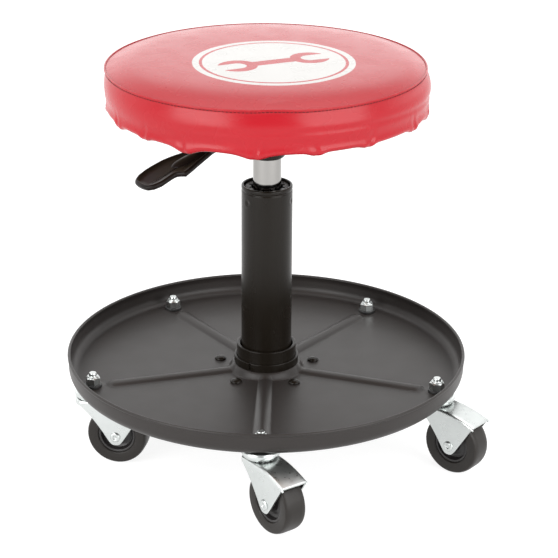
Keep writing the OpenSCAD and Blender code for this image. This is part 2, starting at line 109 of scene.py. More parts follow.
class Look:
    """A principled material whose node tree is built by short calls. Each call returns a socket."""

    def __init__(self, name, color, roughness, metallic=0.0, **fixed):
        self.material = bpy.data.materials.new(name)
        self.material.use_nodes = True
        self.tree = self.material.node_tree
        self.shader = self.tree.nodes["Principled BSDF"]
        self.place = self.node("ShaderNodeTexCoord").outputs["Object"]
        self.put("Base Color", (*color, 1))
        self.put("Roughness", roughness)
        self.put("Metallic", metallic)
        for label, value in fixed.items():
            self.put(label.replace("_", " "), value)

    def node(self, kind, **values):
        made = self.tree.nodes.new(kind)
        for key, value in values.items():
            setattr(made, key, value)
        return made

    def feed(self, socket, value):
        if isinstance(value, bpy.types.NodeSocket):
            self.tree.links.new(value, socket)
        else:
            socket.default_value = value

    def put(self, label, value):
        self.feed(self.shader.inputs[label], value)

    def noise(self, scale, detail=2.0, stretch=(1, 1, 1), roughness=0.5):
        mapping = self.node("ShaderNodeMapping")
        self.feed(mapping.inputs["Vector"], self.place)
        mapping.inputs["Scale"].default_value = stretch
        made = self.node("ShaderNodeTexNoise")
        self.feed(made.inputs["Vector"], mapping.outputs[0])
        made.inputs["Scale"].default_value = scale
        made.inputs["Detail"].default_value = detail
        made.inputs["Roughness"].default_value = roughness
        return made.outputs["Fac"]

    def cells(self, scale):
        made = self.node("ShaderNodeTexVoronoi")
        self.feed(made.inputs["Vector"], self.place)
        made.inputs["Scale"].default_value = scale
        return made.outputs["Distance"]

    def sum(self, operation, a, b=0.0):
        made = self.node("ShaderNodeMath", operation=operation)
        self.feed(made.inputs[0], a)
        self.feed(made.inputs[1], b)
        return made.outputs[0]

    def fit(self, value, low_in, high_in, low_out=0.0, high_out=1.0):
        made = self.node("ShaderNodeMapRange", interpolation_type="SMOOTHSTEP")
        for socket, number in zip(made.inputs, (value, low_in, high_in, low_out, high_out)):
            self.feed(socket, number)
        return made.outputs[0]

    def mix(self, factor, a, b):
        made = self.node("ShaderNodeMix", data_type="RGBA")
        self.feed(made.inputs["Factor"], factor)
        for socket, color in ((made.inputs[6], a), (made.inputs[7], b)):
            self.feed(socket, (*color, 1) if isinstance(color, tuple) and len(color) == 3 else color)
        return made.outputs[2]

    def axis(self, letter, place=None):
        made = self.node("ShaderNodeSeparateXYZ")
        self.feed(made.inputs[0], place or self.place)
        return made.outputs[letter]

    def bump(self, height, distance, strength=1.0):
        made = self.node("ShaderNodeBump")
        made.inputs["Strength"].default_value = strength
        made.inputs["Distance"].default_value = distance * MM
        self.feed(made.inputs["Height"], height)
        self.put("Normal", made.outputs[0])


def spanner_mask(look, place, length, head):
    """1 inside the outline of an open-ended spanner that lies along the place's X, 0 outside it."""
    def distance(x0, y0):
        moved = look.node("ShaderNodeVectorMath", operation="DISTANCE")
        flat = look.node("ShaderNodeVectorMath", operation="MULTIPLY")
        look.feed(flat.inputs[0], place)
        flat.inputs[1].default_value = (1, 1, 0)
        look.feed(moved.inputs[0], flat.outputs[0])
        moved.inputs[1].default_value = (x0, y0, 0)
        return moved.outputs["Value"]

    def inside(value, size):
        return look.sum("LESS_THAN", value, size)

    x, y = look.axis("X", place), look.axis("Y", place)
    half = length / 2
    mask = look.sum("MULTIPLY", inside(look.sum("ABSOLUTE", x), half),
                    inside(look.sum("ABSOLUTE", y), head * 0.36))
    for side in (-1, 1):
        mask = look.sum("MAXIMUM", mask, inside(distance(side * half, 0), head))
    for side in (-1, 1):
        jaw = look.sum("MULTIPLY", inside(look.sum("ABSOLUTE", y), head * 0.45),
                       look.sum("GREATER_THAN", look.sum("MULTIPLY", x, side), half))
        jaw = look.sum("MAXIMUM", jaw, inside(distance(side * half, 0), head * 0.45))
        mask = look.sum("MULTIPLY", mask, look.sum("SUBTRACT", 1.0, jaw))
    return mask


def vinyl():
    """Red vinyl with a plain white disc on top that carries a ring and a spanner."""
    look = Look("vinyl_red", (0.3, 0.009, 0.014), 0.26, Specular_IOR_Level=0.25)
    red = look.mix(look.noise(9, 3), (0.3, 0.007, 0.012), (0.33, 0.009, 0.015))
    mapping = look.node("ShaderNodeMapping")
    look.feed(mapping.inputs["Vector"], look.place)
    mapping.inputs["Location"].default_value = (-0.006, 0.02, 0)
    turned_place = look.node("ShaderNodeVectorRotate", rotation_type="Z_AXIS")
    look.feed(turned_place.inputs["Vector"], mapping.outputs[0])
    turned_place.inputs["Angle"].default_value = math.radians(-24)
    place = turned_place.outputs[0]
    x, y = look.axis("X", place), look.axis("Y", place)
    radius = look.sum("SQRT", look.sum("ADD", look.sum("MULTIPLY", x, x), look.sum("MULTIPLY", y, y)))
    disc = look.sum("LESS_THAN", radius, 0.078)
    rim = look.sum("MULTIPLY", look.sum("GREATER_THAN", radius, 0.0685),
                   look.sum("LESS_THAN", radius, 0.0715))
    print_area = look.sum("MULTIPLY", disc, look.sum("SUBTRACT", 1.0, rim))
    spanner = spanner_mask(look, place, 0.075, 0.019)
    print_area = look.sum("MULTIPLY", print_area, look.sum("SUBTRACT", 1.0, spanner))
    top = look.sum("GREATER_THAN", look.axis("Z"), SEAM_Z * MM)
    print_area = look.sum("MULTIPLY", print_area, top)
    look.put("Base Color", look.mix(print_area, red, (0.44, 0.43, 0.415)))
    look.put("Roughness", look.fit(look.noise(40, 2), 0.3, 0.7, 0.24, 0.29))
    look.bump(look.noise(22, 1), 0.12, 0.25)
    return look.material


def powder(name, color, roughness, speckle=0.1, shine=0.3):
    look = Look(name, color, roughness, Specular_IOR_Level=shine)
    dark = tuple(c * 0.95 for c in color)
    light = tuple(c * 1.05 for c in color)
    look.put("Base Color", look.mix(look.noise(14, 4), dark, light))
    look.put("Roughness", look.fit(look.noise(40, 3), 0.3, 0.7, roughness - 0.015, roughness + 0.015))
    look.bump(look.noise(700, 2), speckle, 0.5)
    return look.material


def plated(name, color, roughness, brush=None, mottle=0.1):
    look = Look(name, color, roughness, 1.0)
    dull = tuple(c * (1 - mottle) for c in color)
    look.put("Base Color", look.mix(look.noise(85, 4), dull, color))
    streaks = look.noise(240, 3, brush) if brush else look.noise(160, 4)
    look.put("Roughness", look.fit(streaks, 0.25, 0.75, roughness * 0.85, roughness * 1.2))
    look.bump(streaks, 0.006, 0.15)
    return look.material


def moulded(name, color, roughness, grain=500, depth=0.06, shine=0.45):
    look = Look(name, color, roughness, Specular_IOR_Level=shine)
    dark = tuple(c * 0.85 for c in color)
    light = tuple(c * 1.2 for c in color)
    look.put("Base Color", look.mix(look.noise(30, 3), dark, light))
    look.put("Roughness", look.fit(look.noise(70, 3), 0.3, 0.7, roughness - 0.05, roughness + 0.07))
    look.bump(look.noise(grain, 2), depth, 0.4)
    return look.material


def wood():
    look = Look("plywood", (0.62, 0.45, 0.27), 0.65)
    rings = look.noise(22, 6, (1, 9, 1), 0.6)
    face = look.mix(look.fit(rings, 0.35, 0.65), (0.46, 0.31, 0.17), (0.68, 0.51, 0.32))
    plies = look.sum("PINGPONG", look.axis("Z"), 1.6 * MM)
    look.put("Base Color", look.mix(look.fit(plies, 0.5 * MM, 1.1 * MM, 0.0, 0.35), face, (0.33, 0.2, 0.1)))
    look.bump(rings, 0.2, 0.4)
    return look.material


def sponge():
    look = Look("foam", (0.86, 0.78, 0.5), 0.9)
    look.put("Base Color", look.mix(look.noise(300, 2), (0.8, 0.7, 0.42), (0.9, 0.83, 0.58)))
    look.bump(look.cells(600), 0.4, 0.6)
    return look.material


MATERIALS = {
    "vinyl": vinyl(),
    "powder_coat": powder("powder_coat", (0.0195, 0.0165, 0.0152), 0.42),
    "column_paint": powder("column_paint", (0.0078, 0.006, 0.0042), 0.26, 0.02, 0.18),
    "black_steel": powder("black_steel", (0.01, 0.01, 0.01), 0.35, 0.04),
    "zinc": plated("zinc", (0.6, 0.625, 0.615), 0.3),
    "steel": plated("steel", (0.62, 0.62, 0.63), 0.3),
    "chrome": plated("chrome", (0.32, 0.312, 0.3), 0.12, (0.2, 0.2, 3), 0.05),
    "black_plastic": moulded("black_plastic", (0.006, 0.0035, 0.003), 0.36, shine=0.14),
    "washer_black": moulded("washer_black", (0.02, 0.02, 0.02), 0.5),
    "seal_rubber": moulded("seal_rubber", (0.02, 0.02, 0.02), 0.6),
    "wheel_tread": moulded("wheel_tread", (0.0145, 0.0122, 0.0105), 0.42, 300, 0.03, 0.28),
    # The thread's red is its own colour; how far it is darkened below the vinyl is painted shade of the
    # sunken stitch line.
    "thread": moulded("thread", (0.06, 0.003, 0.005), 0.8, 900, 0.05, 0.2),
    "wheel_core": moulded("wheel_core", (0.018, 0.016, 0.016), 0.4),
    "plywood": wood(),
    "foam": sponge(),
}
node_slots = {s["node"]: s["material_slot"] for s in frame["record"]["subparts"]}
for node_name, node_object in frame["nodes"].items():
    node_object.data.materials.clear()
    node_object.data.materials.append(MATERIALS[node_slots[node_name]])


# ---- mesh building ----

def piece(name, verts, faces, slot_name, body, stands_for=(), sharp=40, at=None, finish=None):
    """A mesh object from vertices in millimetres, finished, and riding on a CAD body."""
    mesh = bpy.data.meshes.new(name)
    mesh.from_pydata((np.asarray(verts, float) * MM).tolist(), [], faces)
    if at is not None:
        mesh.transform(at)
    made = bpy.data.objects.new(name, mesh)
    bpy.context.scene.collection.objects.link(made)
    tidy_mesh(made, sharp)
    mesh.materials.append(MATERIALS[finish or slot_name])
    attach(made, body)
    if stands_for:
        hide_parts(*stands_for)
    return made


def tidy_mesh(made, sharp=40):
    """Welds double vertices, turns the faces outwards and keeps only edges over an angle sharp."""
    work = bmesh.new()
    work.from_mesh(made.data)
    bmesh.ops.remove_doubles(work, verts=work.verts, dist=1e-6)
    bmesh.ops.dissolve_degenerate(work, edges=work.edges, dist=1e-7)
    bmesh.ops.recalc_face_normals(work, faces=work.faces)
    work.to_mesh(made.data)
    work.free()
    made.data.shade_smooth()
    made.data.set_sharp_from_angle(angle=math.radians(sharp))


def bake_modifiers(made):
    """Applies the modifiers to the mesh."""
    graph = bpy.context.evaluated_depsgraph_get()
    final = bpy.data.meshes.new_from_object(made.evaluated_get(graph))
    made.modifiers.clear()
    old = made.data
    made.data = final
    final.name = made.name
    bpy.data.meshes.remove(old)


def soften(outline, radius, steps=4):
    """The closed outline with its corners rounded. A point's third number is a radius of its own."""
    rounded = []
    for i, point in enumerate(outline):
        size = point[2] if len(point) > 2 else radius
        corner = Vector(point[:2])
        if size <= 0:
            rounded.append(tuple(corner))
            continue
        before = Vector(outline[i - 1][:2]) - corner
        after = Vector(outline[(i + 1) % len(outline)][:2]) - corner
        start = corner + before.normalized() * min(size, before.length * 0.48)
        end = corner + after.normalized() * min(size, after.length * 0.48)
        for k in range(steps + 1):
            t = k / steps
            rounded.append(tuple(start * (1 - t) ** 2 + corner * 2 * t * (1 - t) + end * t ** 2))
    return rounded


def mirrored(side):
    """An outline from one half of it and that half's mirror image across z = 0."""
    return side + [(p[0], -p[1], *p[2:]) for p in reversed(side)]


def arc(cx, cy, r, start, end, steps):
    angles = [math.radians(start + (end - start) * i / steps) for i in range(steps + 1)]
    return [(cx + r * math.cos(a), cy + r * math.sin(a)) for a in angles]


def turned_mesh(outline, segments=96, angles=None):
    """Vertices and faces of a closed outline swept round Z. The outline may be a function of the angle."""
    if angles is None:
        angles = [2 * math.pi * k / segments for k in range(segments)]
    rows = [np.asarray(outline(a) if callable(outline) else outline, float) for a in angles]
    verts = np.concatenate([np.c_[row[:, 0] * math.cos(a), row[:, 0] * math.sin(a), row[:, 1]]
                            for row, a in zip(rows, angles)])
    n, m = len(rows), len(rows[0])
    faces = [(i * m + j, i * m + (j + 1) % m, (i + 1) % n * m + (j + 1) % m, (i + 1) % n * m + j)
             for i in range(n) for j in range(m)]
    return verts, faces


def turned(name, outline, slot_name, body, stands_for=(), segments=96, angles=None, at=None, sharp=40):
    verts, faces = turned_mesh(outline, segments, angles)
    return piece(name, verts, faces, slot_name, body, stands_for, sharp, at)


def several(name, parts, slot_name, body, stands_for=(), sharp=40, **rest):
    """One piece of several solids: parts holds pairs of a mesh and the place of each."""
    verts, faces = [], []
    for (part_verts, part_faces), place in parts:
        first = len(verts)
        verts += [place @ Vector(v) for v in part_verts]
        faces += [tuple(first + i for i in face) for face in part_faces]
    return piece(name, [tuple(v) for v in verts], faces, slot_name, body, stands_for, sharp, **rest)


def upright(x, y, z=0.0, angle=0.0):
    return Matrix.Translation((x, y, z)) @ Matrix.Rotation(angle, 4, "Z")


def from_cad(name, node, bevel=0.35, segments=2):
    """A copy of a CAD node with its edges rounded, in the node's place."""
    source = frame["nodes"][node]
    made = bpy.data.objects.new(name, source.data.copy())
    bpy.context.scene.collection.objects.link(made)
    work = bmesh.new()
    work.from_mesh(made.data)
    bmesh.ops.remove_doubles(work, verts=work.verts, dist=1e-6)
    bmesh.ops.dissolve_limit(work, angle_limit=math.radians(1), verts=work.verts, edges=work.edges)
    work.to_mesh(made.data)
    work.free()
    rounding = made.modifiers.new("bevel", "BEVEL")
    rounding.width = bevel * MM
    rounding.segments = segments
    rounding.limit_method = "ANGLE"
    rounding.angle_limit = math.radians(35)
    bake_modifiers(made)
    tidy_mesh(made, 35)
    made.data.materials.clear()
    made.data.materials.append(MATERIALS[node_slots[node]])
    body = frame["nodes"][node]["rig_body"]
    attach(made, body)
    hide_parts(node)
    return made


def hexagon(across_flats, z0, z1, hole, chamfer=0.28):
    """A hexagon nut's mesh, chamfered at its top."""
    inner = across_flats / 2

    def outline(angle):
        turn = (math.degrees(angle) + 30) % 60 - 30
        r = inner / math.cos(math.radians(turn))
        drop = max(0.0, r - inner * 0.97) * 0.58 + chamfer
        return [(hole, z0), (r - 0.15, z0), (r, z0 + 0.15), (r, z1 - drop), (r - 0.12, z1 - drop + 0.1),
                (inner * 0.93, z1 - 0.05), (inner * 0.9, z1), (hole + 0.6, z1), (hole, z1 - 0.6)]
    return turned_mesh(outline, 72)


# ---- tool tray and hub ----

RIB_H = 3.0
RIB_R = 11.0
RIB_START, RIB_END = 31.0, 169.0
FLOOR_EDGE = TRAY_R - 11.4               # where the floor starts to turn up into the lip
CORNER_R = 9.0                           # inside radius of that bend
LIP_FLARE = math.radians(1.5)
BEAD = 1.6                               # radius of the lip's rolled edge
STEM_PAD = 0.6                           # height of the pad under each castor's washer
RIVET_PAD = 0.5                          # height of the pad under each hub rivet
RIVET_GROOVE = 0.7                       # depth of the groove round that pad


def smooth(t):
    t = min(max(t, 0.0), 1.0)
    return t * t * (3 - 2 * t)


def tray_height(r, angle):
    """How far the tray's floor stands above its flat part."""
    boss = (BOSS_TOP - FLOOR_Z) * (1 - smooth((r - 33) / 6))
    turn = min(abs((angle - a + math.pi) % (2 * math.pi) - math.pi) for a in ARMS)
    across = r * math.sin(min(turn, 1.2))
    taper = smooth((r - RIB_START) / 8) * smooth((RIB_END - r) / 8)
    rib = 0.0
    if across < RIB_R:
        rib = max(0.0, math.sqrt(RIB_R ** 2 - across ** 2) - (RIB_R - RIB_H * taper))
        soft_edge = smooth(rib / 1.2)
        rib *= 0.35 + 0.65 * soft_edge
    pad = 0.0
    for stem in STEMS:
        away = math.hypot(r * math.cos(angle) - stem.x, r * math.sin(angle) - stem.y)
        pad = max(pad, STEM_PAD * smooth((11.0 - away) / 1.6))
    for x, y in RIVETS:
        away = math.hypot(r * math.cos(angle) - x, r * math.sin(angle) - y)
        pad = max(pad, RIVET_PAD * smooth((8.2 - away) / 1.5))
        pad -= RIVET_GROOVE * math.exp(-((away - 6.9) / 0.8) ** 2)
    return max(boss, 0) + rib * (1 - smooth((38 - r) / 5) * 0.6) + pad


def tray_angles():
    """Angles round the tray, closer together across each rib."""
    near, far = math.radians(13), math.radians(59)
    fine, coarse = 44, 34
    angles = []
    for a in sorted(ARMS):
        angles += [a - near + 2 * near * k / fine for k in range(fine)]
        angles += [a + near + (far - near) * k / coarse for k in range(coarse)]
    return angles


def tray():
    floor_r = ([30.4, 31.5] + [33 + 0.9 * k for k in range(13)] + [45.5 + 1.4 * k for k in range(10)]
               + [60 + 3.4 * k for k in range(27)] + [152 + 1.8 * k for k in range(20)])
    floor_r = [r for r in floor_r if r < FLOOR_EDGE - 1] + [FLOOR_EDGE]
    wall_z = TRAY_TOP - 2 * BEAD
    flare = math.degrees(LIP_FLARE)
    inner = arc(FLOOR_EDGE, FLOOR_Z + CORNER_R, CORNER_R, -90, -flare, 10)[1:]
    reach = (wall_z - inner[-1][1]) * math.tan(LIP_FLARE)
    top_in = (inner[-1][0] + reach, wall_z)
    outer = arc(FLOOR_EDGE, FLOOR_Z + CORNER_R, CORNER_R + SHEET, -flare, -90, 10)
    bead_centre = (TRAY_R - BEAD, TRAY_TOP - BEAD)
    bead = arc(*bead_centre, BEAD, 200, -60, 14)
    wall_out = [(top_in[0] + SHEET, wall_z - 0.9), (top_in[0] + SHEET - 0.1, wall_z - 4)]
    halfway = ((inner[-1][0] + top_in[0]) / 2, (inner[-1][1] + wall_z) / 2)
    lip = inner + [halfway, top_in] + bead + wall_out + outer

    def outline(angle):
        tops = [(r, FLOOR_Z + tray_height(r, angle)) for r in floor_r]
        under = [(r, z - SHEET) for r, z in reversed(tops)]
        return tops + lip + under[1:]
    turned("tray_shell", outline, "powder_coat", "base", ["tool_tray"], angles=tray_angles(), sharp=50)


def hub():
    z0 = low("hub_socket").z
    flange = high("hub_socket").x
    outline = [(20, z0), (flange, z0, 0.6), (flange, TRAY_UNDER, 0.3), (30, TRAY_UNDER, 0.3),
               (30, SLEEVE_TOP, 0.7), (27.2, SLEEVE_TOP, 0.9), (25.1, SLEEVE_TOP - 3, 0.4),
               (24.6, z0 + 2, 0.5), (20, z0 + 2, 0)]
    turned("hub_sleeve", soften(outline, 0), "column_paint", "base", ["hub_socket"])

    def clamp(angle):
        gap = abs((math.degrees(angle) - 239 + 180) % 360 - 180) < 2.2
        out = 30.9 if gap else 32.6
        bore, foot, top = 30.1, BOSS_TOP - 0.4, BOSS_TOP + 8
        return soften([(bore, foot), (out, foot), (out, top), (bore, top)], 0.7)
    turned("hub_clamp", clamp, "column_paint", "base", ["hub_ring"], segments=180)
    head = [(0, 0.5), (6.1, 0.5, 0.5), (5.9, 1.7, 1.2), (3.6, 3.4, 2.0), (0, 3.7)]
    head = [(p[0], FLOOR_Z + p[1], *p[2:]) for p in head]
    shank = [(0, z0 - 7.5), (2.4, z0 - 7.5), (3, z0 - 6.8), (3, FLOOR_Z), (0, FLOOR_Z)]
    places = [upright(x, y) for x, y in RIVETS]
    heads = [(turned_mesh(soften(head, 0), 40), p) for p in places]
    shanks = [(turned_mesh(shank, 24), p) for p in places]
    several("hub_rivets", heads + shanks, "powder_coat", "base", ["hub_bolts"], finish="column_paint")
    nut = hexagon(10, -z0, -z0 + 5, hole=3.05)
    flip = Matrix.Rotation(math.pi, 4, "X")
    several("hub_lock_nuts", [(nut, p @ flip) for p in places], "zinc", "base", ["hub_nuts"])


# ---- gas lift ----

def gas_lift():
    r, top = COLUMN_R, COLUMN_TOP
    foot = low("column_tube").z
    bore = 21.5
    profile = ([(bore, foot), (r - 1.1, foot, 0.5), (r - 0.2, SLEEVE_TOP - 1.6, 0.3), (r, SLEEVE_TOP, 0.3)]
               + [(r, SLEEVE_TOP + 8 + 6 * k, 0) for k in range(24)]
               + [(r, z, 0) for z in np.arange(top - 22, top - 7, 0.8)]
               + [(r, top - 6, 0.3), (r - 0.5, top - 5.3, 0.3), (r - 0.5, top - 4.3, 0.3),
                  (r, top - 3.6, 0.3), (r, top - 0.2, 0.9), (r - 2.2, top, 0.5), (r - 2.4, top - 4, 0.3),
                  (bore, top - 40, 0)])
    profile = soften(profile, 0, 3)
    dimples = [(math.radians(a), top - 14.5) for a in (221, 341, 101)]

    def outline(angle):
        rows = []
        for radius, z in profile:
            dent = 0.0
            if radius > r - 0.05:
                for a, height in dimples:
                    turn = (angle - a + math.pi) % (2 * math.pi) - math.pi
                    away = math.hypot(turn * r, z - height)
                    dent += 0.9 * math.exp(-(away / 2.1) ** 2) - 0.15 * math.exp(-((away - 4.2) / 1.2) ** 2)
            rows.append((radius - dent, z))
        return rows
    turned("column_outer_tube", outline, "column_paint", "base", ["column_tube"], segments=160)

    bush_r = r - 2.5

    def bush(angle):
        notch = abs((math.degrees(angle) % 30) - 15) < 4
        z1 = top - (6.0 if notch else 2.2)
        return soften([(CYLINDER_R + 0.1, top - 68), (bush_r, top - 68), (bush_r, top - 4, 0.4),
                       (bush_r - 1.5, top - 2, 0.4), (CYLINDER_R + 4.2, top - 2, 0.4),
                       (CYLINDER_R + 3.6, z1, 0.3), (CYLINDER_R + 1.8, z1, 0.3),
                       (CYLINDER_R + 0.1, top - 7.5, 0.3)], 0.1, 2)
    turned("column_bush", bush, "black_plastic", "base", ["guide_bush"], segments=180)

    z0, z1 = low("gas_cylinder").z, high("gas_cylinder").z
    tube = soften([(5.2, z0), (CYLINDER_R, z0, 1.2), (CYLINDER_R, z1 - 25, 0), (13.1, z1, 1.2),
                   (5.2, z1)], 0, 4)
    turned("lift_cylinder", tube, "chrome", "seat", ["gas_cylinder"], segments=128)


# ---- castors ----

FORK_HALF = 15.0
FORK_GAUGE = 2.0
CROWN_R = 18.0                           # radius of the fork's round crown
CROWN_Z = 67.0
SKIRT_Z = 61.6                           # lower edge of the skirt round the crown
TAIL = 53.5
TAIL_Z = 57.8
TRAIL = 26.0
AXLE_Z = joints["front_roll"]["pos_m"][2] / MM
WHEEL_HALF = 11.5


def hood_z(u):
    if u < 12:
        return CROWN_Z
    return CROWN_Z - (CROWN_Z - TAIL_Z) * ((u - 12) / (TAIL - 12)) ** 1.8


def plate_edge(u):
    """Height of a fork plate's lower edge: two edges that run down to a round end under the axle."""
    past_skirt = max(u + 9.5, 0)
    lead = SKIRT_Z - 0.87 * past_skirt - 0.0135 * past_skirt ** 2
    tail = 27.3 + 1.6 * (u - 34)
    lowest, roundness = 21.6, 2.0
    bottom = roundness * math.log(sum(math.exp(z / roundness) for z in (lead, tail, lowest)))
    return min(bottom, hood_z(u) - 3.0)


def fork_mesh():
    """A stamped fork's outer skin, in its own frame: x along the trail, y along the axle."""
    nose = [-CROWN_R * math.cos(math.radians(3 + 6 * k)) for k in range(10)]
    stations = nose + list(np.arange(-9, 17, 1.6)) + list(np.arange(17.4, 36, 0.8))
    stations += list(np.arange(36.4, TAIL - 0.5, 1.4)) + [TAIL]
    rows = []
    for u in stations:
        half = min(FORK_HALF, math.sqrt(CROWN_R ** 2 - u ** 2)) if u < 0 else FORK_HALF
        top, bottom = hood_z(u), plate_edge(u)
        crease = min(2.6, half * 0.6, (top - bottom) * 0.8)
        side = [(half, bottom + (top - crease - bottom) * t) for t in np.linspace(0, 1, 9)]
        bend = arc(half - crease, top - crease, crease, 0, 90, 6)[1:]
        middle = [((half - crease) * t, top) for t in np.linspace(1, -1, 11)[1:-1]]
        mirror = [(-v, z) for v, z in reversed(side + bend)]
        rows.append([(u, v, z) for v, z in side + bend + middle + mirror])
    m = len(rows[0])
    verts = [v for row in rows for v in row]
    faces = [(i * m + j, i * m + j + 1, (i + 1) * m + j + 1, (i + 1) * m + j)
             for i in range(len(rows) - 1) for j in range(m - 1)]
    faces.append(tuple(range(m)))
    return verts, faces


def castor(name):
    swivel, roll = joints[f"{name}_swivel"], joints[f"{name}_roll"]
    stem = Vector((*swivel["pos_m"][:2], 0))
    wheel = Vector((*roll["pos_m"][:2], 0))
    along = (wheel - stem).normalized()
    across = Vector(roll["axis"])
    place = Matrix.Translation(stem) @ Matrix((along, across, (0, 0, 1))).transposed().to_4x4()
    fork_body, wheel_body = f"{name}_fork", f"{name}_wheel"

    verts, faces = fork_mesh()
    fork = piece(f"{name}_fork_stamping", verts, faces, "zinc", fork_body, [f"castor_{name}_fork"], 50, place)
    shell = fork.modifiers.new("gauge", "SOLIDIFY")
    shell.thickness = FORK_GAUGE * MM
    shell.offset = -1
    edge = fork.modifiers.new("edge", "BEVEL")
    edge.width = 0.35 * MM
    edge.segments = 2
    edge.limit_method = "ANGLE"
    edge.angle_limit = math.radians(50)
    bake_modifiers(fork)
    tidy_mesh(fork, 45)

    axle = place @ Matrix.Translation((TRAIL * MM, 0, AXLE_Z * MM)) @ Matrix.Rotation(-math.pi / 2, 4, "X")
    cap = FORK_HALF + 1.7
    rivet = [(0, -cap + 1), (1.5, -cap + 0.9, 0.3), (2.2, -cap, 0.4), (4.2, -cap, 0.6),
             (5.4, -FORK_HALF - 0.4, 0.4), (5.3, -FORK_HALF, 0.1), (3, -FORK_HALF, 0.1)]
    rivet = soften(mirrored(rivet), 0, 3)
    turned(f"{name}_axle_rivet", rivet, "zinc", fork_body, [f"castor_{name}_axle"], 48, at=axle)

    half = WHEEL_HALF
    tread_r = AXLE_Z
    flank = [(18.6, 1.6, 0.4), (19.6, 0.4, 0.5), (23.5, 0, 1.0), (tread_r - 1.6, -0.1, 1.4),
             (tread_r - 0.5, 2.0, 1.2), (tread_r, 5.0, 1.4)]
    tyre = [(r, inset - half, size) for r, inset, size in flank]
    tyre = soften(mirrored(tyre), 0.4, 4)
    turned(f"{name}_tread", tyre, "wheel_tread", wheel_body, [f"castor_{name}_tyre"], 96, at=axle)
    boss = 12.6
    side = [(3.08, boss), (6.6, boss, 0.5), (7.6, boss - 2, 0.5), (8.0, 4.6, 0.8), (12.5, 3.4, 0.8),
            (15.6, 4.6, 0.8), (16.6, half - 2.2, 0.5), (18.5, half - 1.9, 0.2)]
    core = soften(mirrored(side), 0.1, 3)
    turned(f"{name}_wheel_core", core, "wheel_core", wheel_body, [f"castor_{name}_core"], 72, at=axle)


def castor_tops():
    z = CROWN_Z
    cup = soften([(0, z - 6.3), (5.2, z - 6.3, 0.8), (8.3, z - 4.4, 0.8), (8.3, z - 2.9, 0.3),
                  (4.95, z - 2.8), (4.95, z + 3.6), (15.4, z + 3.6, 0.3), (15.5, z + 1.6, 0.3),
                  (16.3, z + 0.9, 0.5), (17.4, z + 2.0, 1.0), (18.6, z + 4.0, 1.4),
                  (18.4, TRAY_UNDER - 1.6, 1.0), (17.0, TRAY_UNDER, 0.6), (4, TRAY_UNDER)], 0.1, 4)
    thread_foot, tip = TRAY_UNDER, high("castor_stems").z
    turns = np.arange(thread_foot, tip - 2.2, 0.625)
    thread = [(0, thread_foot)] + [(4.0 if i % 2 else 3.55, h) for i, h in enumerate(turns)]
    thread += [(3.9, tip - 1.8), (3.8, tip - 0.7), (3.3, tip - 0.1), (0, tip)]
    places = [upright(s.x, s.y) for s in STEMS]
    parts = [(turned_mesh(cup, 72), p) for p in places] + [(turned_mesh(thread, 32), p) for p in places]
    several("castor_race_cups", parts, "zinc", "base", ["castor_stems"])
    washer_z, nut_z = low("castor_washers").z, low("castor_nuts").z
    washer = soften([(4.1, washer_z), (8.9, washer_z), (8.9, nut_z), (4.1, nut_z)], 0.5, 3)
    several("castor_seal_washers", [(turned_mesh(washer, 64), p) for p in places], "washer_black", "base",
            ["castor_washers"])
    hex_top = nut_z + 7.6
    nut = hexagon(13, nut_z, hex_top, chamfer=0.6, hole=4.05)
    collar = turned_mesh(soften([(4.1, hex_top - 0.5), (5.9, hex_top - 0.5), (5.7, hex_top + 0.9, 0.5),
                                 (4.8, hex_top + 1.2, 0.4), (4.1, hex_top + 0.9)], 0.1, 4), 48)
    turns = [math.radians(a) for a in (8, 24, 51, 37, 15)]
    nuts = [(m, p @ Matrix.Rotation(t, 4, "Z")) for p, t in zip(places, turns) for m in (nut, collar)]
    several("castor_lock_nuts", nuts, "zinc", "base", ["castor_nuts"])


# ---- lever ----

LEVER_DROP = math.radians(16)
# The paddle's edge in its own plane, along and across the lever, on the side away from and towards -Y
PADDLE_FAR = [(66, -7), (72, -9.4), (80, -12.7), (90, -16.7), (99, -19.5), (108.6, -21.1), (119.2, -20.4),
              (130, -18.6), (139.7, -15.1), (145.6, -10.6), (149.1, -5.5)]
PADDLE_NEAR = [(149.7, 0.2), (149.4, 8), (147.9, 14.7), (142, 19.6), (133.7, 20.9), (127.4, 19.5),
               (122.3, 18.1), (118.4, 17.2), (115.2, 17.0, 1.0), (109.2, 24.6, 0.8), (104.6, 23.4),
               (98, 20.8), (90.8, 17.6), (81, 13.5), (71, 9.4), (66, 7)]


